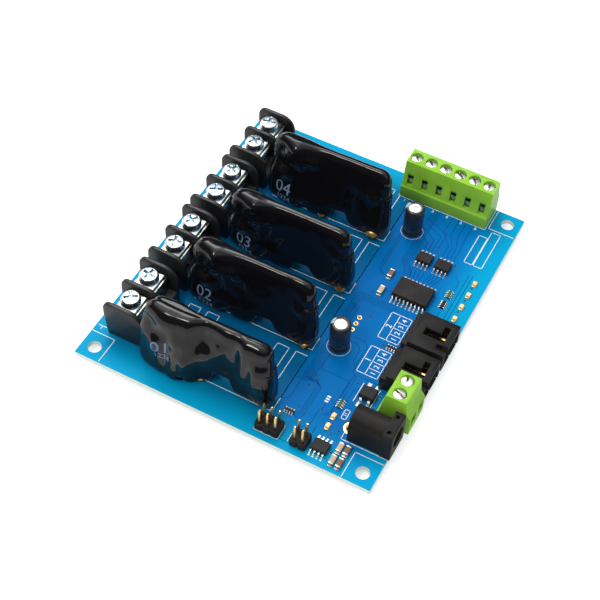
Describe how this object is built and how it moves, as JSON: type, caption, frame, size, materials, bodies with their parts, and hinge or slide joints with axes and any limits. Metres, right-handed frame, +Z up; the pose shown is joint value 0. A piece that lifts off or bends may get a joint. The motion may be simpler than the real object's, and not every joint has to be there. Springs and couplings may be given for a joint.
{
  "type": "solid state relay board",
  "caption": "Blue circuit board with dipped solid state relays, barrier terminals on one edge, green screw terminals, a power jack and bus headers.",
  "frame": {"origin": "centre of the four corner mounting holes, on the underside of the board", "axes": "+Z up, out of the side that carries the components; +Y towards the six green output terminals; +X towards the power jack and the bus headers"},
  "size_m": [0.0979, 0.1151, 0.0278],
  "materials": {
    "board_coat": "glossy blue solder mask over glass fibre",
    "relay_coating": "glossy dipped coating",
    "barrier_plastic": "satin moulding",
    "terminal_plastic": "satin moulding",
    "zinc_plate": "bright zinc plate",
    "connector_plastic": "satin moulding",
    "gold_plate": "gold plate",
    "can_metal": "satin",
    "bung_rubber": "matt",
    "sleeve_film": "shrunk film",
    "small_ceramic": "matt fired ceramic",
    "light_lens": "clear yellowish lens",
    "chip_mould": "matt moulding compound",
    "tinned_metal": "bright tin plate"
  },
  "bodies": {
    "root": {"address_header_base": "connector_plastic", "address_header_pins": "gold_plate", "barrier_clamp_plates": "zinc_plate", "barrier_contacts_1": "tinned_metal", "barrier_contacts_2": "tinned_metal", "barrier_contacts_3": "tinned_metal", "barrier_contacts_4": "tinned_metal", "barrier_housing_1": "barrier_plastic", "barrier_housing_2": "barrier_plastic", "barrier_housing_3": "barrier_plastic", "barrier_housing_4": "barrier_plastic", "barrier_screws": "zinc_plate", "bridge_rectifier_body": "chip_mould", "bridge_rectifier_leads": "tinned_metal", "bus_chip_body": "chip_mould", "bus_chip_leads": "tinned_metal", "bus_header_in_housing": "connector_plastic", "bus_header_in_pins": "gold_plate", "bus_header_out_housing": "connector_plastic", "bus_header_out_pins": "gold_plate", "capacitor_1_bung": "bung_rubber", "capacitor_1_can": "can_metal", "capacitor_1_leads": "tinned_metal", "capacitor_1_sleeve": "sleeve_film", "capacitor_2_bung": "bung_rubber", "capacitor_2_can": "can_metal", "capacitor_2_leads": "tinned_metal", "capacitor_2_sleeve": "sleeve_film", "chip_capacitors": "small_ceramic", "circuit_board": "board_coat", "driver_chip_1_body": "chip_mould", "driver_chip_1_leads": "tinned_metal", "driver_chip_2_body": "chip_mould", "driver_chip_2_leads": "tinned_metal", "expander_chip_body": "chip_mould", "expander_chip_leads": "tinned_metal", "indicator_lights": "light_lens", "jack_centre_pin": "gold_plate", "jack_housing": "connector_plastic", "jack_spring_contact": "tinned_metal", "jack_switch_contact": "tinned_metal", "output_block_1_housing": "terminal_plastic", "output_block_2_housing": "terminal_plastic", "power_block_housing": "terminal_plastic", "pullup_header_base": "connector_plastic", "pullup_header_pins": "gold_plate", "relay_body_1": "relay_coating", "relay_body_2": "relay_coating", "relay_body_3": "relay_coating", "relay_body_4": "relay_coating", "relay_leads_1": "tinned_metal", "relay_leads_2": "tinned_metal", "relay_leads_3": "tinned_metal", "relay_leads_4": "tinned_metal", "resistor_arrays": "small_ceramic", "terminal_block_cages": "tinned_metal", "terminal_block_pins": "tinned_metal", "terminal_block_screws": "zinc_plate"}
  },
  "joints": []
}
